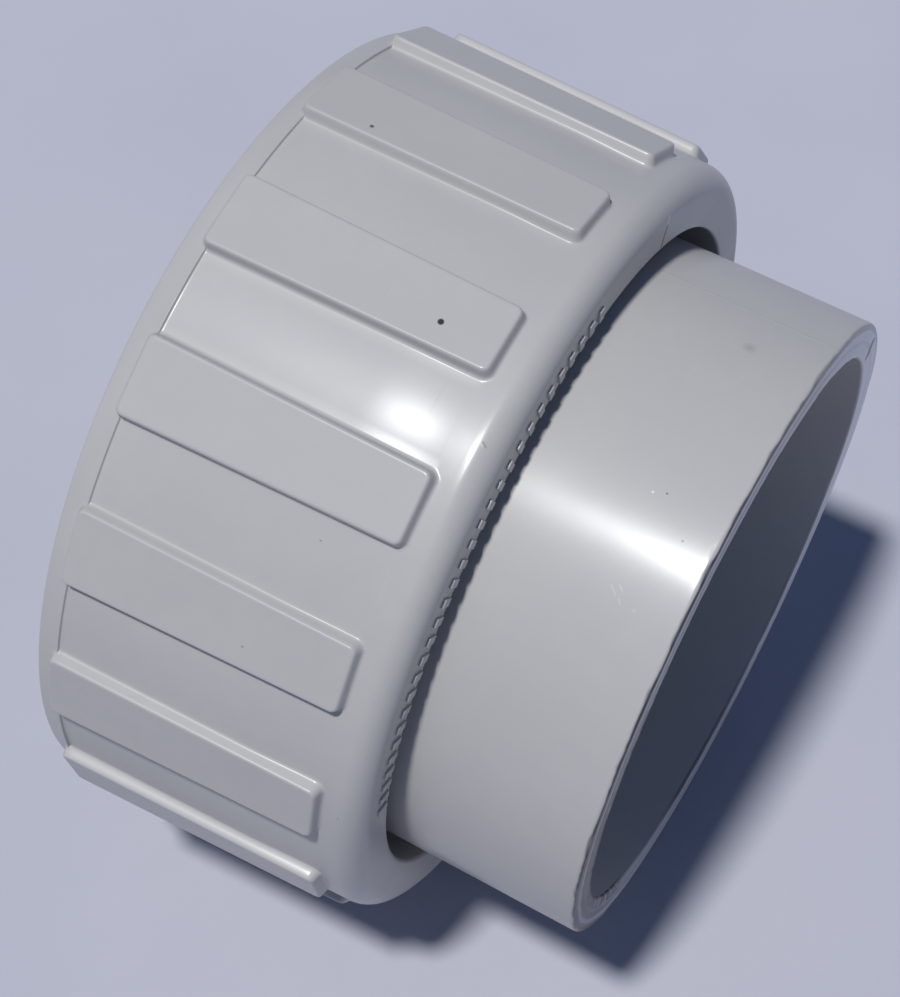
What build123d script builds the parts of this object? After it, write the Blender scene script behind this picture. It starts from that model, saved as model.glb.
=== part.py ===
from build123d import *
import math
import os

# Pipe union for a 60.3 mm (nominal 2 inch) plastic pressure pipe.
# Millimetres. +X runs along the pipe from the threaded end's mouth (x = 0)
# to the tailpiece's mouth. +Z is up when the nut lies on two of its ribs.
# Four moulded pieces: union nut, tailpiece, threaded end and seal ring.

# pipe sockets
SOCKET_R = 30.30          # bore that takes the pipe
SPIGOT_R = 34.20          # outside of both plain socket ends
WATERWAY_R = 26.30        # clear bore past the pipe stops

# stations along the axis
X_RIM = 3.00              # nut's rear rim
X_PARTING = X_RIM + 2.66  # step where the rim band meets the ribbed body
X_FACE = X_RIM + 35.50    # nut's flat front ring
X_SEAT = 27.00            # tailpiece's seal face
X_END_FACE = 26.80        # threaded end's face, held off by the seal ring
X_MOUTH = X_RIM + 55.00   # tailpiece's mouth
X_LIP = X_RIM + 29.60     # back of the nut's front lip
TAIL_STOP = 31.00         # bottom of the tailpiece's socket
END_STOP = 20.50          # bottom of the threaded end's socket

# nut outside
RIM_R0, RIM_R1 = 42.85, 43.50        # rim band, rear edge and parting line
BODY_R0, BODY_R1 = 43.20, 42.05      # drafted body, rear and front
SHOULDER = 2.50                      # round between body and front ring
LIP_R = 36.10                        # hole the tailpiece comes out of
RIBS = 16
RIB_X0, RIB_X1 = X_RIM + 2.35, X_RIM + 31.20
RIB_TOP0, RIB_TOP1 = 44.32, 43.40    # flat rib tops, rear and front
RIB_HALF0, RIB_HALF1 = 3.89, 3.53    # half widths at the top
RIB_FLARE = 0.22                     # how far each wall leans out to the body
RIB_ROOT = 0.40                      # soft corner where the walls meet the body

# plain raised dashes moulded on the front ring, angles from +Z towards -Y
DASHES, DASH_FROM, DASH_TO = 30, -3.0, 82.0
DASH_R0, DASH_R1, DASH_W, DASH_H = 36.80, 38.30, 0.90, 0.25

# thread, one start, right hand
PITCH = 5.0
CORE_R, CREST_R = 38.10, 39.80       # male
BORE_R, GROOVE_R = 38.40, 40.10      # female
ROOT_HALF, CREST_HALF = 1.30, 0.60   # half widths of the male ridge
THREAD_GAP = 0.18                    # play on each flank
X_THREAD0 = 5.20
RELIEF_X0, RELIEF_X1 = 24.20, 28.20  # run-out behind the lip
FLANGE_R = 37.90                     # tailpiece flange, passes the female thread

# seal ring and its groove
RING_R = 32.60
RING_HALF_W, RING_HALF_H = 2.15, 1.70
GROOVE_HALF = 2.30
GROOVE_DEPTH = X_END_FACE - (X_SEAT - 2 * RING_HALF_H)


def turned(points):
    """Solid of revolution about X from (x, radius) corners."""
    return revolve(make_face(Polyline(*points, close=True)), Axis.X, 360)


def helical_bar(r_in, r_out, half_in, half_out, x0, turns):
    """Trapezoid swept along the thread's helix."""
    path = Helix(PITCH, PITCH * turns, r_in, center=(x0, 0, 0), direction=(1, 0, 0))
    start = path @ 0
    out = Vector(0, start.Y, start.Z).normalized()
    corners = [
        start + out * (r - r_in) + Vector(dx, 0, 0)
        for r, dx in ((r_in, -half_in), (r_out, -half_out), (r_out, half_out), (r_in, half_in))
    ]
    profile = make_face(Polyline(*corners, close=True))
    return sweep(profile, path=path, is_frenet=True)


def rib():
    """One flat rib, standing on the +Z side, with soft top and end corners."""
    def plate(x0, x1, h0, h1, z0, z1):
        return make_face(Polyline((x0, -h0, z0), (x1, -h1, z1), (x1, h1, z1), (x0, h0, z0), close=True))
    sunk = 1.6
    top = plate(RIB_X0, RIB_X1, RIB_HALF0, RIB_HALF1, RIB_TOP0, RIB_TOP1)
    lean = RIB_FLARE * (sunk + 1.1) / 1.1
    foot = plate(RIB_X0 - lean, RIB_X1 + lean, RIB_HALF0 + lean, RIB_HALF1 + lean,
                 RIB_TOP0 - 1.1 - sunk, RIB_TOP1 - 1.1 - sunk)
    body = loft([foot, top], ruled=True)
    upright = [e for e in body.edges() if abs(e.tangent_at(0.5).Z) > 0.5]
    body = fillet(upright, 0.7)
    tops = body.faces().sort_by(Axis.Z)[-1]
    return fillet(tops.edges(), 0.3)


def union_nut():
    shell = turned([
        (X_RIM, 40.90), (X_RIM, RIM_R0), (X_PARTING, RIM_R1), (X_PARTING, BODY_R0),
        (X_FACE, BODY_R1), (X_FACE, LIP_R), (X_LIP, LIP_R), (X_LIP, BORE_R),
        (RELIEF_X1, BORE_R), (RELIEF_X1 - 1.2, GROOVE_R), (X_RIM + 0.8, GROOVE_R),
    ])
    corner = shell.edges().filter_by(GeomType.CIRCLE).filter_by(
        lambda e: abs(e.center().X - X_FACE) < 1e-3 and abs(e.radius - BODY_R1) < 1e-2)
    shell = fillet(corner, SHOULDER)
    lip_edges = shell.edges().filter_by(GeomType.CIRCLE).filter_by(lambda e: abs(e.radius - LIP_R) < 1e-3)
    shell = fillet(lip_edges.sort_by(Axis.X)[-1], 0.35)
    shell += [rib().rotate(Axis.X, (k + 0.5) * 360 / RIBS) for k in range(RIBS)]

    def at_rib_root(edge):
        mid = edge.position_at(0.5)
        along = (mid.X - X_PARTING) / (X_FACE - X_PARTING)
        body_r = BODY_R0 + along * (BODY_R1 - BODY_R0)
        return X_PARTING + 0.01 < mid.X < X_FACE - SHOULDER and abs(math.hypot(mid.Y, mid.Z) - body_r) < 0.02

    roots = shell.edges().filter_by(GeomType.BSPLINE).filter_by(at_rib_root)
    print("rib root edges", len(roots))
    shell = fillet(roots, RIB_ROOT)
    for k in range(DASHES):
        angle = DASH_FROM + k * (DASH_TO - DASH_FROM) / (DASHES - 1)
        dash = Box(2 * DASH_H, DASH_W, DASH_R1 - DASH_R0)
        shell += (Pos(X_FACE, 0, (DASH_R0 + DASH_R1) / 2) * dash).rotate(Axis.X, angle)
    return shell + female_ridge()


def female_ridge():
    """The nut's inward thread, half a pitch away from the male ridge, chamfered at both ends."""
    foot_half = PITCH / 2 - CREST_HALF - THREAD_GAP
    crest_half = PITCH / 2 - ROOT_HALF - THREAD_GAP
    sunk = 0.4
    foot_half += sunk * (foot_half - crest_half) / (GROOVE_R - BORE_R)
    bar = helical_bar(GROOVE_R + sunk, BORE_R, foot_half, crest_half, X_THREAD0 - PITCH / 2, 4.6)
    envelope = turned([
        (X_RIM + 1.0, GROOVE_R + 0.7), (X_RIM + 1.0, GROOVE_R), (X_RIM + 2.9, BORE_R - 0.2),
        (RELIEF_X0 - 1.9, BORE_R - 0.2), (RELIEF_X0, GROOVE_R), (RELIEF_X0, GROOVE_R + 0.7),
    ])
    return bar & envelope


def tailpiece():
    body = turned([
        (X_SEAT, WATERWAY_R), (X_SEAT, FLANGE_R), (X_LIP - 0.10, FLANGE_R), (X_LIP - 0.10, SPIGOT_R),
        (X_MOUTH, SPIGOT_R), (X_MOUTH, SOCKET_R), (TAIL_STOP, SOCKET_R), (TAIL_STOP, WATERWAY_R),
    ])
    circles = body.edges().filter_by(GeomType.CIRCLE)
    root = circles.filter_by(lambda e: abs(e.radius - SPIGOT_R) < 1e-3).sort_by(Axis.X)[0]
    body = fillet(root, 1.1)
    circles = body.edges().filter_by(GeomType.CIRCLE)
    soft = circles.filter_by(lambda e: abs(e.radius - FLANGE_R) < 1e-3)
    body = fillet(soft, 0.5)
    circles = body.edges().filter_by(GeomType.CIRCLE)
    mouth = circles.filter_by(lambda e: abs(e.center().X - X_MOUTH) < 1e-3)
    body = fillet(mouth, 0.40)
    return body


def threaded_end():
    body = turned([
        (0, SOCKET_R), (0, SPIGOT_R), (X_RIM + 0.8, SPIGOT_R), (X_RIM + 1.4, CORE_R),
        (X_END_FACE - 0.8, CORE_R), (X_END_FACE, CORE_R - 0.8), (X_END_FACE, RING_R + GROOVE_HALF),
        (X_END_FACE - GROOVE_DEPTH, RING_R + GROOVE_HALF), (X_END_FACE - GROOVE_DEPTH, RING_R - GROOVE_HALF),
        (X_END_FACE, RING_R - GROOVE_HALF), (X_END_FACE, WATERWAY_R), (END_STOP, WATERWAY_R),
        (END_STOP, SOCKET_R),
    ])
    ridge = helical_bar(CORE_R - 0.3, CREST_R, ROOT_HALF, CREST_HALF, X_THREAD0, 4)
    envelope = turned([
        (X_RIM + 1.8, 0), (X_RIM + 1.8, CORE_R), (X_RIM + 3.6, CREST_R + 1), (X_END_FACE - 2.6, CREST_R + 1),
        (X_END_FACE - 0.8, CORE_R), (X_END_FACE - 0.8, 0),
    ])
    ridge = ridge & envelope
    return body + ridge


def seal_ring():
    section = Plane.XY * Pos(X_SEAT - RING_HALF_H, RING_R) * Ellipse(RING_HALF_H, RING_HALF_W)
    return revolve(section, Axis.X, 360)


PIECES = {
    "union_nut": union_nut,
    "tailpiece": tailpiece,
    "threaded_end": threaded_end,
    "seal_ring": seal_ring,
}

os.makedirs("parts", exist_ok=True)
for name, make in PIECES.items():
    solid = make().solids()
    solid = max(solid, key=lambda s: s.volume)
    solid.label = name
    export_step(solid, f"parts/{name}.step")
    box = solid.bounding_box()
    print(name, round(solid.volume), solid.is_valid, box.min, box.max)
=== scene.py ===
import math

import bmesh
import bpy
from mathutils import Matrix, Vector, noise


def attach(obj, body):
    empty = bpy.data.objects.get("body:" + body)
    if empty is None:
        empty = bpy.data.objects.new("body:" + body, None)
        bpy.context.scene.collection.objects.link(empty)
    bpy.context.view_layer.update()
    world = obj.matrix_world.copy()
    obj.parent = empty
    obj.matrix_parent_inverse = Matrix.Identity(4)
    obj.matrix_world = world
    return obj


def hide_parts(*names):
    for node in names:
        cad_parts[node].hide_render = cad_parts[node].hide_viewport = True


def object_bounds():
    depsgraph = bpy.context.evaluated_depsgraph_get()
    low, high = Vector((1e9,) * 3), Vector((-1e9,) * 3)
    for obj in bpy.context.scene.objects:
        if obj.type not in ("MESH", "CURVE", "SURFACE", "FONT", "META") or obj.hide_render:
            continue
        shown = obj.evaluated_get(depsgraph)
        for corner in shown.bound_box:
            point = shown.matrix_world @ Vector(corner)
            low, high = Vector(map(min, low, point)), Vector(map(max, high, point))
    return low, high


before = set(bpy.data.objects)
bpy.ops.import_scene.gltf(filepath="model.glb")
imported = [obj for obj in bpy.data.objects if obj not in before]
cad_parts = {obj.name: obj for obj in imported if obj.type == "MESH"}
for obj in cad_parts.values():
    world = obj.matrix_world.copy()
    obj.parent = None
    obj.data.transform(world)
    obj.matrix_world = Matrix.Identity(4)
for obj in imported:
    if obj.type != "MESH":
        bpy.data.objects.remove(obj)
cad_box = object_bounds()

MM = 0.001
TURN = 2 * math.pi

# Lengths are in mm. +X runs along the pipe, from the threaded end's mouth at 0 to the
# tailpiece's mouth, and angles about it are from +Z towards -Y.

# ---------------------------------------------------------------- stations along the pipe
X_RIM, X_PARTING, X_FACE = 3.00, 5.66, 38.50        # nut: rear rim, parting line, front ring
X_LIP = 32.60                                       # back of the nut's front lip
X_SEAT, TAIL_STOP, X_MOUTH = 27.00, 31.00, 58.00    # tailpiece: seal face, stop, mouth
X_END_FACE, END_STOP = 26.80, 20.50                 # threaded end: sealing face, stop
FLOOR_Z = cad_box[0][2]                             # metres

# ---------------------------------------------------------------- tailpiece and threaded end
SOCKET_R, SPIGOT_R, WATERWAY_R = 30.30, 34.20, 26.30
EDGE_ROUND = 0.40                       # stops, and outer edges of the threaded end
END_ROUND = 0.35                        # inner edge of the threaded end's mouth
MOUTH_OUT, MOUTH_IN = 0.45, 0.32        # edges of the tailpiece's mouth
FLANGE_R, FLANGE_ROUND, NECK_ROUND = 37.90, 0.50, 1.10
FLANGE_X = X_LIP - 0.10                 # front of the flange, just behind the lip

# ---------------------------------------------------------------- nut
RIM_R0, RIM_R1 = 42.85, 43.50           # rim band, rear edge and parting line
BODY_R0, BODY_SLOPE = 43.20, 0.0279     # body at the parting line, and its draft
FRONT_DIP, DIP_X, DIP_SPAN = 0.187, 25.5, 8.0       # slight sink of the body above the lip
SHOULDER, LIP_R = 2.50, 36.10           # front round, and the hole in the lip
LIP_OUT, LIP_IN = 0.35, 0.30            # rounds of the lip's two edges
RIBS = 16
RIB_X0, RIB_X1 = 5.35, 34.20
RIB_TOP0, RIB_TOP1 = 44.32, 43.40       # flat tops, rear and front
RIB_HALF0, RIB_HALF1 = 3.89, 3.53       # half widths, rear and front
RIB_CORNER = 0.70
# share of a rib's height at a distance outside its outline
RIB_WALL = [(-0.28, 1.0), (-0.17, 0.985), (-0.08, 0.94), (0.0, 0.84), (0.06, 0.70),
            (0.14, 0.40), (0.21, 0.20), (0.31, 0.07), (0.44, 0.015), (0.58, 0.0)]
# mesh columns: distances outside a rib's side, close together on its wall
WALL_COLUMNS = [-0.70, -0.50, -0.34, -0.22, -0.12, -0.03, 0.05, 0.12, 0.20, 0.30, 0.44, 0.62]
HALF_SECTOR = math.pi / RIBS
MEAN_R = 43.4                           # turns a distance across a rib into an angle

DASHES, DASH_FROM, DASH_TO = 30, -3.0, 82.0         # raised dashes on the front ring
DASH_R0, DASH_R1, DASH_W, DASH_H, DASH_BEVEL = 36.80, 38.30, 0.90, 0.25, 0.08

# ---------------------------------------------------------------- thread and seal
PITCH, X_THREAD0 = 5.0, 5.20
CORE_R, CREST_R, BORE_R, GROOVE_R = 38.10, 39.80, 38.40, 40.10
ROOT_HALF, CREST_HALF, THREAD_GAP = 1.30, 0.60, 0.18
THREAD_FADE = 1.70                      # length over which a thread starts or ends
FEMALE_X0, FEMALE_X1 = 4.0, 24.2
MALE_X0, MALE_X1 = 4.9, 26.0
SEAL_R, SEAL_HALF_X, SEAL_HALF_R = 32.60, 1.70, 2.15
GROOVE_HALF, GROOVE_DEPTH = 2.30, 3.20


# ---------------------------------------------------------------- shape helpers
def lerp(a, b, t):
    return a + (b - a) * t


def clamp01(t):
    return min(1.0, max(0.0, t))


def smooth(t):
    t = clamp01(t)
    return t * t * (3 - 2 * t)


def through(points, d):
    """Straight-line interpolation through (position, value) pairs."""
    if d <= points[0][0]:
        return points[0][1]
    for (a, va), (b, vb) in zip(points, points[1:]):
        if d <= b:
            return lerp(va, vb, (d - a) / (b - a))
    return points[-1][1]


def spread(a, b, n):
    """n values from a up to, but not including, b."""
    return [lerp(a, b, i / n) for i in range(n)]


def around(count):
    """Evenly spaced angles of one turn."""
    return [TURN * j / count for j in range(count)]


def arc(cx, cr, radius, start, end, n):
    """(x, r) points on an arc in the axial section, angles in degrees from +x towards +r."""
    out = []
    for i in range(n + 1):
        a = math.radians(lerp(start, end, i / n))
        out.append((cx + radius * math.cos(a), cr + radius * math.sin(a)))
    return out


def tagged(*groups):
    """Rows of (kind, x, radius) from groups of (kind, points)."""
    return [(kind, x, r) for kind, points in groups for x, r in points]


def next_pairs(items):
    """Each item with the one after it, and the last with the first."""
    return zip(items, items[1:] + items[:1])


def add_object(name, bm):
    """A smooth-shaded object of a finished bmesh."""
    mesh = bpy.data.meshes.new(name)
    bm.to_mesh(mesh)
    bm.free()
    mesh.polygons.foreach_set("use_smooth", [True] * len(mesh.polygons))
    obj = bpy.data.objects.new(name, mesh)
    bpy.context.collection.objects.link(obj)
    return obj


def lathe(name, rows, ring):
    """A closed skin. ring(kind, x, r) gives one turn of points, as (x, angle, radius)."""
    bm = bmesh.new()
    grid = [[bm.verts.new((x * MM, -r * math.sin(a) * MM, r * math.cos(a) * MM))
             for x, a, r in ring(*row)] for row in rows]
    for lower, upper in next_pairs(grid):
        for (a, b), (d, c) in zip(next_pairs(lower), next_pairs(upper)):
            bm.faces.new((a, b, c, d))
    bmesh.ops.recalc_face_normals(bm, faces=bm.faces)
    return add_object(name, bm)


# ---------------------------------------------------------------- thread
def thread_share(x, a, gap):
    """0 between ridges and 1 on a ridge of the right-hand helix, which passes X_THREAD0 at +Z."""
    centre = X_THREAD0 + PITCH * a / TURN
    d = (x - centre + PITCH / 2) % PITCH - PITCH / 2
    return clamp01((ROOT_HALF + gap - abs(d)) / (ROOT_HALF - CREST_HALF))


def female_radius(x, a):
    """Bore of the nut: the groove that takes the male ridge, opened out at both ends."""
    entry = lerp(GROOVE_R, BORE_R, (x - FEMALE_X0) / THREAD_FADE)
    runout = lerp(GROOVE_R, BORE_R, (FEMALE_X1 - x) / THREAD_FADE)
    groove = lerp(BORE_R, GROOVE_R, thread_share(x, a, THREAD_GAP))
    return min(GROOVE_R, max(entry, runout, groove))


def male_radius(x, a):
    """Outside of the threaded end, with the ridge fading in and out at its ends."""
    fade = smooth((x - MALE_X0) / THREAD_FADE) * smooth((MALE_X1 - x) / THREAD_FADE)
    return lerp(CORE_R, CREST_R, thread_share(x, a, 0.0) * fade)


# ---------------------------------------------------------------- union nut
def body_radius(x):
    return BODY_R0 - BODY_SLOPE * (x - X_PARTING) - FRONT_DIP * smooth((x - DIP_X) / DIP_SPAN)


def rib_share(x):
    """0 at the rear end of the ribs and 1 at their front end."""
    return clamp01((x - RIB_X0) / (RIB_X1 - RIB_X0))


def rib_half(x):
    return lerp(RIB_HALF0, RIB_HALF1, rib_share(x))


def ribbed(x, base, off):
    """Radius of the outside at an angle off from the nearest rib's middle line."""
    qx = max(RIB_X0 - x, x - RIB_X1) + RIB_CORNER
    qs = abs(MEAN_R * math.sin(off)) - rib_half(x) + RIB_CORNER
    d = math.hypot(max(qx, 0), max(qs, 0)) + min(max(qx, qs), 0) - RIB_CORNER
    if d >= RIB_WALL[-1][0]:
        return base
    top = lerp(RIB_TOP0, RIB_TOP1, rib_share(x)) / math.cos(off)
    return base + (top - base) * through(RIB_WALL, d)


def column_offsets(half):
    """Angles of the mesh columns, from a rib's middle out to the middle of the gap."""
    inner = [t * (half - 0.85) for t in (0.0, 0.30, 0.60, 0.85)]
    wall = [half + d for d in WALL_COLUMNS]
    gap = [lerp(wall[-1], HALF_SECTOR * MEAN_R, t) for t in (0.22, 0.46, 0.72, 1.0)]
    return [side / MEAN_R for side in inner + wall + gap]


def nut_ring(kind, x, r):
    offs = column_offsets(rib_half(x))
    points = []
    for k in range(RIBS):
        # from the middle of one rib, over the gap, to just before the middle of the next
        this_rib, next_rib = (k + 0.5) * TURN / RIBS, (k + 1.5) * TURN / RIBS
        sector = [(this_rib + off, off) for off in offs]
        sector += [(next_rib - off, off) for off in offs[-2:0:-1]]
        for a, off in sector:
            if kind == "rib":
                points.append((x, a, ribbed(x, r, off)))
            elif kind == "thread":
                points.append((x, a, female_radius(x, a)))
            else:
                points.append((x, a, r))
    return points


def make_nut():
    rim_x = (3.9, 4.4, 4.72, 4.84, 4.94, 5.03, 5.12, 5.19, 5.26, 5.35, 5.44, 5.52, 5.58, 5.63)
    # close together where the ribs end
    body_x = ([5.88, 6.05, 6.4] + spread(7.5, 24.5, 8) + spread(24.5, 33.4, 14)
              + [33.4, 33.6, 33.78, 33.94, 34.06, 34.16, 34.24, 34.32, 34.40, 34.50,
                 34.62, 34.76, 34.90, 35.3, 35.7])
    shoulder_x = X_FACE - SHOULDER
    rows = tagged(
        ("plain", arc(X_RIM + 0.35, RIM_R0 - 0.30, 0.33, 180, 100, 4)),
        ("rib", [(x, lerp(RIM_R0, RIM_R1, (x - X_RIM) / (X_PARTING - X_RIM))) for x in rim_x]),
        ("rib", [(5.665, BODY_R0 + 0.12), (5.70, BODY_R0 + 0.03), (5.76, BODY_R0)]),
        ("rib", [(x, body_radius(x)) for x in body_x]),
        ("plain", arc(shoulder_x, body_radius(shoulder_x) - SHOULDER, SHOULDER, 88, 0, 18)),
        ("plain", [(X_FACE, r) for r in (39.3, 38.4, 37.8, 37.2, LIP_R + 0.55)]),
        ("plain", arc(X_FACE - LIP_OUT, LIP_R + LIP_OUT, LIP_OUT, 0, -90, 6)),
        ("plain", [(37.2, LIP_R), (35.0, LIP_R)]),
        ("plain", arc(X_LIP + LIP_IN, LIP_R + LIP_IN, LIP_IN, -90, -180, 4)),
        ("plain", [(X_LIP, 37.2), (X_LIP, BORE_R - 0.2), (X_LIP - 0.2, BORE_R),
                   (28.4, BORE_R), (28.1, BORE_R + 0.12),
                   (27.15, GROOVE_R - 0.12), (26.9, GROOVE_R), (25.5, GROOVE_R)]),
        ("thread", [(lerp(24.4, FEMALE_X0, i / 82), BORE_R) for i in range(83)]),
        ("plain", [(3.75, GROOVE_R + 0.06), (3.12, 40.80), (X_RIM, 40.95)]),
    )
    return lathe("nut_body", rows, nut_ring)


def make_dashes():
    """Plain raised dashes on the front ring."""
    bm = bmesh.new()
    size = Matrix.Diagonal((2 * DASH_H * MM, DASH_W * MM, (DASH_R1 - DASH_R0) * MM, 1))
    spot = Matrix.Translation((X_FACE * MM, 0, (DASH_R0 + DASH_R1) / 2 * MM))
    for k in range(DASHES):
        a = math.radians(lerp(DASH_FROM, DASH_TO, k / (DASHES - 1)))
        bmesh.ops.create_cube(bm, size=1, matrix=Matrix.Rotation(a, 4, "X") @ spot @ size)
    obj = add_object("ring_dashes", bm)
    bevel = obj.modifiers.new("soft", "BEVEL")
    bevel.width, bevel.segments = DASH_BEVEL * MM, 3
    return obj


# ---------------------------------------------------------------- tailpiece
# nicks of the trimmed mouth: noise seed and reach towards -x, then seed and reach in radius
NICKS = {"outer edge": (1.7, 0.07, 3.1, -0.04), "face": (2.2, 0.03, 0.0, 0.0),
         "inner edge": (8.3, 0.12, 5.9, 0.08)}


def nick(a, seed, reach):
    """Depth of the small nicks along the trimmed mouth."""
    p = Vector((math.cos(a) * 5 + seed, math.sin(a) * 5, seed * 2))
    fine = noise.noise(p * 6) * 0.5 + 0.5
    coarse = noise.noise(p * 1.3 + Vector((4, 2, 7)))
    return reach * (0.25 + clamp01(coarse * 1.6 + 0.35)) * fine ** 2


def tail_ring(kind, x, r):
    if kind == "plain":
        return [(x, a, r) for a in around(720)]
    seed_x, reach_x, seed_r, reach_r = NICKS[kind]
    return [(x - nick(a, seed_x, reach_x), a, r + nick(a, seed_r, reach_r))
            for a in around(720)]


def make_tail():
    bore_x = (56.8, 54.0, 48.0, 42.0, 36.0, 33.0, TAIL_STOP + 0.5)
    rows = tagged(
        ("plain", [(X_SEAT, r) for r in (WATERWAY_R + 0.3, 28.5, 31.0, 34.0, 36.5)]),
        ("plain", arc(X_SEAT + FLANGE_ROUND, FLANGE_R - FLANGE_ROUND, FLANGE_ROUND,
                      180, 90, 5)),
        ("plain", [(29.5, FLANGE_R)]),
        ("plain", arc(FLANGE_X - FLANGE_ROUND, FLANGE_R - FLANGE_ROUND, FLANGE_ROUND,
                      90, 0, 5)),
        ("plain", arc(FLANGE_X + NECK_ROUND, SPIGOT_R + NECK_ROUND, NECK_ROUND, 180, 270, 6)),
        ("plain", [(x, SPIGOT_R) for x in spread(34.6, 57.0, 10) + [57.0, 57.35]]),
        ("outer edge", [(57.5, SPIGOT_R)]),
        ("outer edge", arc(X_MOUTH - MOUTH_OUT, SPIGOT_R - MOUTH_OUT, MOUTH_OUT, 85, 5, 7)),
        ("face", [(X_MOUTH, r) for r in (SPIGOT_R - 0.62, 33.0, 32.0, 31.2, SOCKET_R + 0.50)]),
        ("inner edge", arc(X_MOUTH - MOUTH_IN, SOCKET_R + MOUTH_IN, MOUTH_IN, -10, -80, 5)),
        ("inner edge", [(57.4, SOCKET_R)]),
        ("plain", [(x, SOCKET_R) for x in bore_x]),
        ("plain", arc(TAIL_STOP + EDGE_ROUND, SOCKET_R - EDGE_ROUND, EDGE_ROUND, 90, 180, 4)),
        ("plain", [(TAIL_STOP, 28.5)]),
        ("plain", arc(TAIL_STOP - EDGE_ROUND, WATERWAY_R + EDGE_ROUND, EDGE_ROUND,
                      0, -90, 4)),
        ("plain", [(29.0, WATERWAY_R), (X_SEAT + 0.3, WATERWAY_R)]),
    )
    return lathe("tail_body", rows, tail_ring)


# ---------------------------------------------------------------- threaded end and seal
def end_ring(kind, x, r):
    return [(x, a, male_radius(x, a) if kind == "thread" else r) for a in around(480)]


def make_threaded_end():
    outer, inner = SEAL_R + GROOVE_HALF, SEAL_R - GROOVE_HALF
    groove_x = X_END_FACE - GROOVE_DEPTH
    rows = tagged(
        ("plain", arc(END_ROUND, SOCKET_R + END_ROUND, END_ROUND, -90, -180, 4)),
        ("plain", [(0.0, 32.0)]),
        ("plain", arc(EDGE_ROUND, SPIGOT_R - EDGE_ROUND, EDGE_ROUND, 180, 90, 4)),
        ("plain", [(2.6, SPIGOT_R), (3.4, SPIGOT_R), (3.75, SPIGOT_R + 0.12),
                   (4.2, CORE_R - 0.35), (4.34, CORE_R - 0.08), (4.5, CORE_R)]),
        ("thread", [(lerp(4.8, MALE_X1, i / 84), CORE_R) for i in range(85)]),
        ("plain", [(26.12, CORE_R - 0.12), (26.7, CORE_R - 0.70), (X_END_FACE, CORE_R - 0.9)]),
        ("plain", [(X_END_FACE, outer + 0.15), (X_END_FACE - 0.12, outer),
                   (groove_x + 0.3, outer), (groove_x, outer - 0.3),
                   (groove_x, inner + 0.3), (groove_x + 0.3, inner),
                   (X_END_FACE - 0.12, inner), (X_END_FACE, inner - 0.15)]),
        ("plain", [(X_END_FACE, 28.0)]),
        ("plain", arc(X_END_FACE - EDGE_ROUND, WATERWAY_R + EDGE_ROUND, EDGE_ROUND,
                      0, -90, 4)),
        ("plain", [(23.0, WATERWAY_R)]),
        ("plain", arc(END_STOP + EDGE_ROUND, WATERWAY_R + EDGE_ROUND, EDGE_ROUND,
                      -90, -180, 4)),
        ("plain", [(END_STOP, 28.5), (END_STOP, SOCKET_R - 0.3), (END_STOP - 0.3, SOCKET_R),
                   (12.0, SOCKET_R), (1.0, SOCKET_R)]),
    )
    return lathe("end_body", rows, end_ring)


def make_seal():
    section = [(X_SEAT - SEAL_HALF_X + SEAL_HALF_X * math.cos(t),
                SEAL_R + SEAL_HALF_R * math.sin(t)) for t in around(28)]
    return lathe("seal_body", tagged(("plain", section)),
                 lambda kind, x, r: [(x, a, r) for a in around(192)])


# ---------------------------------------------------------------- material helpers
class Surface:
    """The shader graph of a new material, with its textures on object coordinates."""

    def __init__(self, name):
        self.material = bpy.data.materials.new(name)
        self.material.use_nodes = True
        self.tree = self.material.node_tree
        self.bsdf = self.tree.nodes["Principled BSDF"]
        self.where = self.tree.nodes.new("ShaderNodeTexCoord").outputs["Object"]

    def put(self, value, socket):
        """Link another node's output to a socket, or set it to a value."""
        if isinstance(value, bpy.types.NodeSocket):
            self.tree.links.new(value, socket)
        else:
            socket.default_value = value

    def node(self, kind, inputs, **properties):
        made = self.tree.nodes.new(kind)
        for key, value in properties.items():
            setattr(made, key, value)
        for key, value in inputs.items():
            self.put(value, made.inputs[key])
        return made

    def texture(self, kind, scale, **inputs):
        return self.node(kind, {"Vector": self.where, "Scale": scale, **inputs})

    def noise(self, scale, **inputs):
        return self.texture("ShaderNodeTexNoise", scale, **inputs).outputs["Fac"]

    def ramp(self, source, stops):
        """A colour ramp. Each stop is a position with a grey value or a colour."""
        made = self.node("ShaderNodeValToRGB", {"Fac": source})
        elements = made.color_ramp.elements
        while len(elements) < len(stops):
            elements.new(0.5)
        for element, (position, v) in zip(elements, stops):
            element.position = position
            element.color = v if isinstance(v, tuple) else (v, v, v, 1)
        return made.outputs["Color"]

    def mix(self, share, a, b):
        made = self.tree.nodes.new("ShaderNodeMix")
        made.data_type = "RGBA"
        for socket, value in ((0, share), (6, a), (7, b)):
            self.put(value, made.inputs[socket])
        return made.outputs[2]

    def calc(self, operation, a, b=0.0, clamp=False):
        made = self.node("ShaderNodeMath", {0: a, 1: b}, operation=operation, use_clamp=clamp)
        return made.outputs[0]

    def times(self, first, *others):
        for value in others:
            first = self.calc("MULTIPLY", first, value)
        return first

    def vector(self, operation, a, b=(0, 0, 0)):
        made = self.node("ShaderNodeVectorMath", {0: a, 1: b}, operation=operation)
        return made.outputs["Value" if operation in ("LENGTH", "DOT_PRODUCT") else "Vector"]

    def bump(self, height, strength, distance, **normal):
        made = self.node("ShaderNodeBump", {"Strength": strength, "Distance": distance,
                                            "Height": height, **normal})
        return made.outputs["Normal"]

    def finish(self, **inputs):
        """Fill the shader's own sockets and return the material."""
        for key, value in inputs.items():
            self.put(value, self.bsdf.inputs[key.replace("_", " ")])
        return self.material


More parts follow.
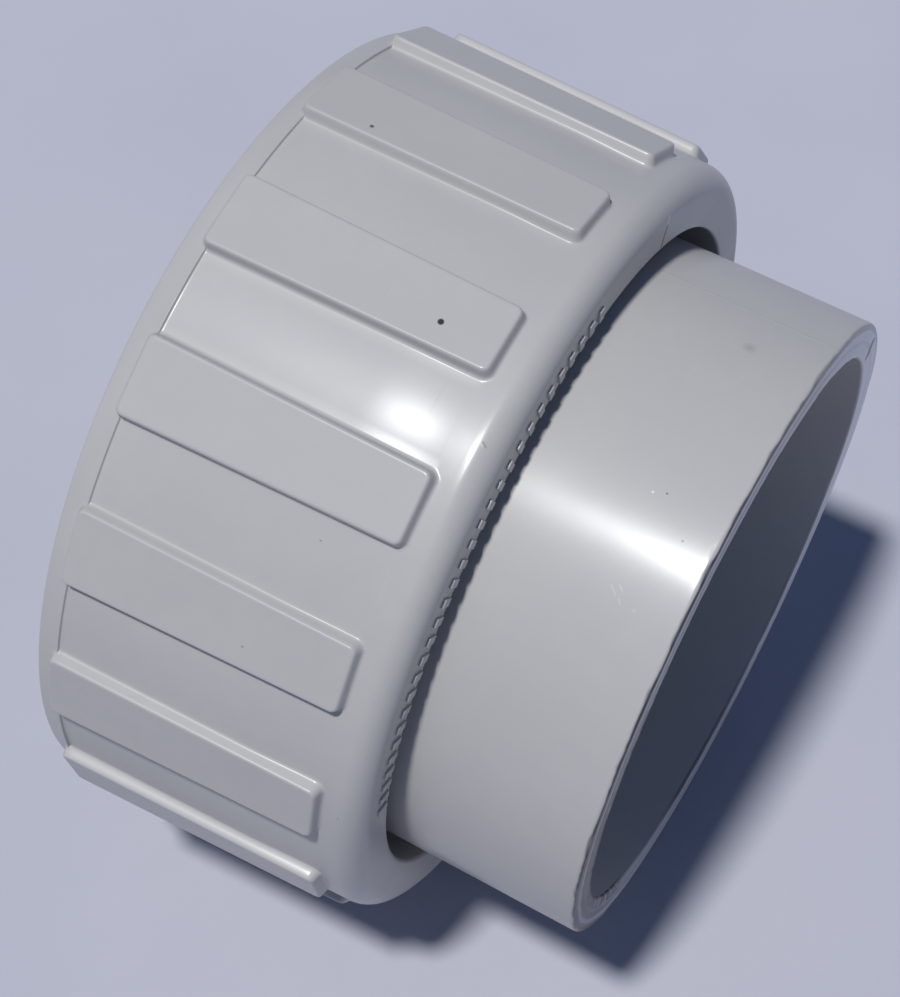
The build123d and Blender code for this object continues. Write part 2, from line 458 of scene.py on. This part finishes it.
def at(x, angle_deg, radius):
    """A point on the object."""
    a = math.radians(angle_deg)
    return (x, -radius * math.sin(a), radius * math.cos(a))


def dot(place, half, tint, strength, soft=0.35):
    """A round mark. A mark is (start, end, half width, softness, tint, strength)."""
    return (place, place, half, soft, tint, strength)


def mark_mask(s, start_mm, end_mm, half_mm, soft):
    """1 inside a small mark drawn from start_mm to end_mm, fading over its edge."""
    start, span = Vector(start_mm) * MM, (Vector(end_mm) - Vector(start_mm)) * MM
    offset = s.vector("SUBTRACT", s.where, start)
    if span.length > 0:
        along = s.calc("DIVIDE", s.vector("DOT_PRODUCT", offset, span),
                       span.length_squared, clamp=True)
        reach = s.node("ShaderNodeVectorMath", {0: span, "Scale": along}, operation="SCALE")
        offset = s.vector("SUBTRACT", offset, reach.outputs["Vector"])
    inside = s.calc("SUBTRACT", half_mm * MM, s.vector("LENGTH", offset))
    return s.calc("DIVIDE", inside, half_mm * MM * soft, clamp=True)


def ring_line(s, radius, centre_mm, half_mm):
    """1 on a thin circle about the pipe axis, fading over its edge."""
    off = s.calc("ABSOLUTE", s.calc("SUBTRACT", radius, centre_mm * MM))
    inside = s.calc("SUBTRACT", half_mm * MM, off)
    return s.calc("DIVIDE", inside, half_mm * MM * 0.4, clamp=True)


# ---------------------------------------------------------------- materials
GREY = (0.484, 0.474, 0.462)
BLACK, PALE = (0.03, 0.03, 0.04, 1), (0.80, 0.80, 0.82, 1)
BROWN, RUST = (0.20, 0.17, 0.15, 1), (0.22, 0.05, 0.04, 1)
# the darkest of these also paints shade on the rounded outer edge of the tailpiece mouth
DUST, DIRT_AND_SHADE, WHITENED = (0.10, 0.095, 0.10, 1), (0.020, 0.020, 0.030, 1), (0.72, 0.72, 0.80, 1)
RUBBER_DARK, RUBBER_PALE = (0.018, 0.018, 0.019, 1), (0.038, 0.037, 0.036, 1)
# painted shade low on the -Y side of the sawn face, rising to painted light on the +Y side
SAWN_FACE_LIGHT_AND_SHADE = [(0.05, (0.09, 0.09, 0.11, 1)), (0.17, (0.34, 0.34, 0.37, 1)),
              (0.62, (0.47, 0.465, 0.50, 1)), (0.96, (0.80, 0.79, 0.84, 1))]
TORN_Y = 0.0185                         # metres: the burr is torn this far out on the -Y side
MOULD_LINE_DEG, MOULD_LINE_HALF = -24.8, 0.20


def grey(*scales):
    """The plastic's colour, with each channel scaled."""
    return tuple(min(1, c * k) for c, k in zip(GREY, scales)) + (1,)


def dust(s, colour):
    """Sparse specks of two sizes."""
    for scale, size, keep, dark in ((330.0, 0.055, 0.93, 0.55), (130.0, 0.030, 0.90, 0.30)):
        cell = s.texture("ShaderNodeTexVoronoi", scale, Randomness=1.0)
        near = s.ramp(cell.outputs["Distance"], [(size * 0.6, 1.0), (size, 0.0)])
        pick = s.node("ShaderNodeSeparateColor", {0: cell.outputs["Color"]})
        chosen = s.calc("GREATER_THAN", pick.outputs[0], keep)
        colour = s.mix(s.times(near, chosen, dark), colour, DUST)
    return colour


def hair_scratches(s, seed):
    """1 on thin scratches, which lie in patches."""
    stretch = s.node("ShaderNodeMapping", {
        "Vector": s.where, "Rotation": (0.4 + seed, 0.9, 0.6 + seed),
        "Scale": (1500.0, 60.0, 60.0)})
    hair = s.node("ShaderNodeTexNoise", {
        "Vector": stretch.outputs["Vector"], "Scale": 1.0, "Detail": 1.0})
    patch = s.noise(95.0, Detail=1.0)
    return s.times(s.ramp(hair.outputs["Fac"], [(0.70, 0.0), (0.78, 1.0)]),
                   s.ramp(patch, [(0.56, 0.0), (0.66, 1.0)]))


def mouth_dirt_and_painted_light(s, colour):
    """Dark lines in the two saw rings of the trimmed mouth, the outer one partly painted shade of
    its round; dirt in the torn burr of its inner edge; painted light and shade across the sawn
    face.
    """
    x, y, z = s.node("ShaderNodeSeparateXYZ", {"Vector": s.where}).outputs
    radius = s.calc("SQRT", s.calc("ADD", s.times(y, y), s.times(z, z)))
    wobble = s.noise(240.0, Detail=3.0)
    broad = s.noise(60.0, Detail=2.0)
    shaky = s.calc("ADD", radius, s.times(s.calc("SUBTRACT", wobble, 0.5), 0.55 * MM))
    mouth = s.calc("GREATER_THAN", x, (X_MOUTH - 0.40) * MM)
    sawn_face = s.calc("GREATER_THAN", x, (X_MOUTH - 0.06) * MM)
    # the sawn face has painted light on the +Y side and painted shade low on the -Y side
    side = s.calc("ADD", s.times(y, 15.0), 0.5, clamp=True)
    colour = s.mix(sawn_face, colour, s.ramp(side, SAWN_FACE_LIGHT_AND_SHADE))
    pale = ring_line(s, shaky, SPIGOT_R - 1.30, 0.30)
    # the outer dark ring lies on the mouth's rounded outer edge and is partly painted shade of
    # that round
    outer = s.times(ring_line(s, shaky, SPIGOT_R - 0.42, 0.38),
                    s.ramp(wobble, [(0.30, 0.6), (0.48, 1.0)]))
    middle = s.times(ring_line(s, shaky, SPIGOT_R - 2.05, 0.30),
                     s.ramp(broad, [(0.36, 0.15), (0.62, 0.85)]))
    edge = s.times(ring_line(s, shaky, SOCKET_R + 0.10, 0.24),
                   s.ramp(broad, [(0.40, 0.2), (0.60, 0.9)]))
    # the rings fade out on the +Y side
    near = s.calc("SUBTRACT", 1.35, s.times(side, 1.15), clamp=True)
    for ring, tint, strength in ((pale, WHITENED, 0.35), (outer, DIRT_AND_SHADE, 1.0),
                                 (middle, DIRT_AND_SHADE, 0.80), (edge, DIRT_AND_SHADE, 0.70)):
        colour = s.mix(s.times(ring, mouth, s.times(near, strength)), colour, tint)
    # the burr is worst low on the side towards -Y
    torn = s.ramp(s.noise(520.0, Detail=2.0), [(0.44, 0.0), (0.50, 1.0)])
    low = s.calc("MULTIPLY", s.calc("SUBTRACT", s.times(y, -1.0), TORN_Y), 200.0, clamp=True)
    inner = s.times(s.calc("LESS_THAN", radius, (SOCKET_R + 1.15) * MM), mouth)
    return s.mix(s.times(torn, low, inner, 0.92), colour, DIRT_AND_SHADE)


def mould_line(s):
    """Height of a thin raised flash line along the pipe."""
    turned = s.node("ShaderNodeVectorRotate", {
        "Vector": s.where, "Angle": -math.radians(MOULD_LINE_DEG)}, rotation_type="X_AXIS")
    parts = s.node("ShaderNodeSeparateXYZ", {"Vector": turned.outputs["Vector"]}).outputs
    off = s.calc("DIVIDE", s.calc("ABSOLUTE", parts["Y"]), MOULD_LINE_HALF * MM)
    upper = s.calc("GREATER_THAN", parts["Z"], 0.0)
    return s.times(s.calc("SUBTRACT", 1.0, off, clamp=True), upper)


def plastic(name, seed, marks=(), trimmed=False):
    """Glossy moulded plastic. A trimmed piece has a sawn mouth and a mould line."""
    s = Surface(name)
    cloud = s.noise(45.0, Detail=3.0, Roughness=0.55)
    mottle = s.noise(420.0, Detail=2.0, Roughness=0.6)
    colour = s.mix(s.ramp(cloud, [(0.30, 0.0), (0.70, 1.0)]),
                   grey(0.965, 0.965, 0.97), grey(1.02, 1.02, 1.015))
    colour = s.mix(s.ramp(mottle, [(0.35, 0.0), (0.75, 0.5)]), colour, grey(0.95, 0.955, 0.97))
    colour = dust(s, colour)
    scratch = hair_scratches(s, seed)
    colour = s.mix(s.times(scratch, 0.16), colour, grey(1.15, 1.15, 1.15))
    if trimmed:
        # dirt on the trimmed mouth, with painted light and shade on its sawn face
        colour = mouth_dirt_and_painted_light(s, colour)
    for start, end, half, soft, tint, strength in marks:
        mask = mark_mask(s, start, end, half, soft)
        colour = s.mix(s.times(mask, strength), colour, tint)
    # fine moulded grain under a broad, shallow waviness
    grain = s.bump(s.noise(4200.0, Detail=2.0, Roughness=0.6), 0.12, 0.03 * MM)
    normal = s.bump(s.noise(190.0, Detail=2.0, Roughness=0.5), 0.08, 0.10 * MM, Normal=grain)
    if trimmed:
        normal = s.bump(mould_line(s), 0.35, 0.06 * MM, Normal=normal)
    # a wide dull gloss from the skin, and a tight one from the polish over it
    dull = s.ramp(s.noise(160.0, Detail=4.0, Roughness=0.6), [(0.30, 0.38), (0.72, 0.47)])
    return s.finish(Base_Color=colour, Normal=normal,
                    Roughness=s.calc("ADD", dull, s.times(scratch, 0.12)),
                    IOR=1.53, Specular_IOR_Level=0.16, Coat_Weight=0.38, Coat_Roughness=0.22)


def rubber(name):
    s = Surface(name)
    grain = s.noise(300.0, Detail=4.0)
    return s.finish(Base_Color=s.mix(grain, RUBBER_DARK, RUBBER_PALE),
                    Roughness=s.ramp(grain, [(0.3, 0.42), (0.7, 0.60)]),
                    Normal=s.bump(grain, 0.3, 0.02 * MM))


nut_mat = plastic("nut_plastic", 0.0, marks=[
    # specks on two rib tops
    dot(at(28.3, 12.7, 43.62), 0.36, BLACK, 1.0),
    dot(at(12.0, -7.9, 44.18), 0.26, BLACK, 0.75),
    # a scuff on the shoulder
    (at(36.55, 23.1, 42.08), at(36.95, 23.5, 41.97), 0.11, 0.8, BLACK, 0.40),
    (at(36.35, 23.3, 42.11), at(36.65, 23.6, 42.06), 0.09, 0.8, PALE, 0.45),
    # the gate's scar across the front ring, with a painted highlight on its upper end
    (at(38.44, -24.2, 40.0), at(38.50, -24.3, 38.8), 0.24, 0.6, PALE, 0.9),
    (at(38.50, -24.3, 38.9), at(38.50, -24.6, 36.7), 0.28, 0.4, BLACK, 0.9),
])
tail_mat = plastic("tail_plastic", 1.3, marks=[
    dot(at(50.9, -14.9, SPIGOT_R), 0.85, BROWN, 0.35, soft=1.0),
    dot(at(50.3, 16.7, SPIGOT_R), 0.15, PALE, 0.7),
    dot(at(51.5, 16.0, SPIGOT_R), 0.13, BLACK, 0.6),
    dot(at(54.7, 21.5, SPIGOT_R), 0.14, BLACK, 0.6),
    dot(at(57.2, 25.4, SPIGOT_R), 0.17, RUST, 0.8),
    # scuffs
    (at(50.8, 32.0, SPIGOT_R), at(51.5, 33.0, SPIGOT_R), 0.10, 0.9, PALE, 0.30),
    (at(51.5, 31.5, SPIGOT_R), at(51.9, 32.0, SPIGOT_R), 0.09, 0.9, PALE, 0.35),
    (at(51.9, 33.3, SPIGOT_R), at(52.2, 33.9, SPIGOT_R), 0.10, 0.9, PALE, 0.30),
    dot(at(53.6, 33.9, SPIGOT_R), 0.22, PALE, 0.25, soft=0.9),
    # a slit in the sawn face
    (at(X_MOUTH, -60.1, 32.8), at(X_MOUTH, -62.0, 31.6), 0.72, 0.3, BLACK, 1.0),
], trimmed=True)
end_mat = plastic("end_plastic", 2.1)
seal_mat = rubber("seal_rubber")

# ---------------------------------------------------------------- pieces
for piece, mat, cad, body, slot_name in (
    (make_nut(), nut_mat, "union_nut", "nut", "nut_plastic"),
    (make_tail(), tail_mat, "tailpiece", "tail", "tail_plastic"),
    (make_threaded_end(), end_mat, "threaded_end", "threaded_half", "end_plastic"),
    (make_seal(), seal_mat, "seal_ring", "threaded_half", "seal_rubber"),
):
    piece.data.materials.append(mat)
    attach(piece, body)
    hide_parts(cad)
dashes = make_dashes()
dashes.data.materials.append(nut_mat)
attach(dashes, "nut")

# ---------------------------------------------------------------- floor, light, camera
FLOOR_SIZE = 6.0                        # metres
FLOOR_TONES = [(0.35, (0.468, 0.472, 0.540, 1)), (0.65, (0.492, 0.492, 0.556, 1))]
SKY_COLOUR, SKY_STRENGTH = (0.330, 0.517, 1.0, 1), 0.18
TO_SUN = Vector((-0.092, -0.302, 0.949)).normalized()
SUN_STRENGTH, SUN_ANGLE_DEG = 2.86, 5.0
CAMERA_AT = (0.08505, -0.11547, 0.19768)            # metres
CAMERA_GAZE = Vector((-0.25301, 0.48634, -0.83633)).normalized()
CAMERA_ROLL_DEG, CAMERA_LENS, CAMERA_SENSOR = 2.523, 80.75, 36.0

bpy.ops.mesh.primitive_plane_add(size=FLOOR_SIZE, location=(0, 0, FLOOR_Z))
floor = bpy.context.object
floor.name = "floor"
sheet = Surface("floor")
sheet_mottle = sheet.ramp(sheet.noise(22.0, Detail=3.0), FLOOR_TONES)
floor.data.materials.append(sheet.finish(Base_Color=sheet_mottle, Roughness=0.9))

world = bpy.data.worlds.new("studio")
world.use_nodes = True
sky = world.node_tree.nodes["Background"].inputs
sky["Color"].default_value = SKY_COLOUR
sky["Strength"].default_value = SKY_STRENGTH
bpy.context.scene.world = world

sun_data = bpy.data.lights.new("sun", "SUN")
sun_data.energy, sun_data.angle = SUN_STRENGTH, math.radians(SUN_ANGLE_DEG)
sun = bpy.data.objects.new("sun", sun_data)
bpy.context.collection.objects.link(sun)
sun.location = TO_SUN
sun.rotation_mode = "QUATERNION"
sun.rotation_quaternion = TO_SUN.to_track_quat("Z", "Y")

camera_data = bpy.data.cameras.new("camera")
camera_data.sensor_width = CAMERA_SENSOR
camera_data.lens = CAMERA_LENS
camera_data.clip_start = 0.01
camera = bpy.data.objects.new("camera", camera_data)
bpy.context.collection.objects.link(camera)
camera.rotation_mode = "QUATERNION"
camera.location = CAMERA_AT
roll = Matrix.Rotation(math.radians(CAMERA_ROLL_DEG), 3, "Z").to_quaternion()
camera.rotation_quaternion = CAMERA_GAZE.to_track_quat("-Z", "Y") @ roll
bpy.context.scene.camera = camera
bpy.context.scene.view_settings.view_transform = "Standard"
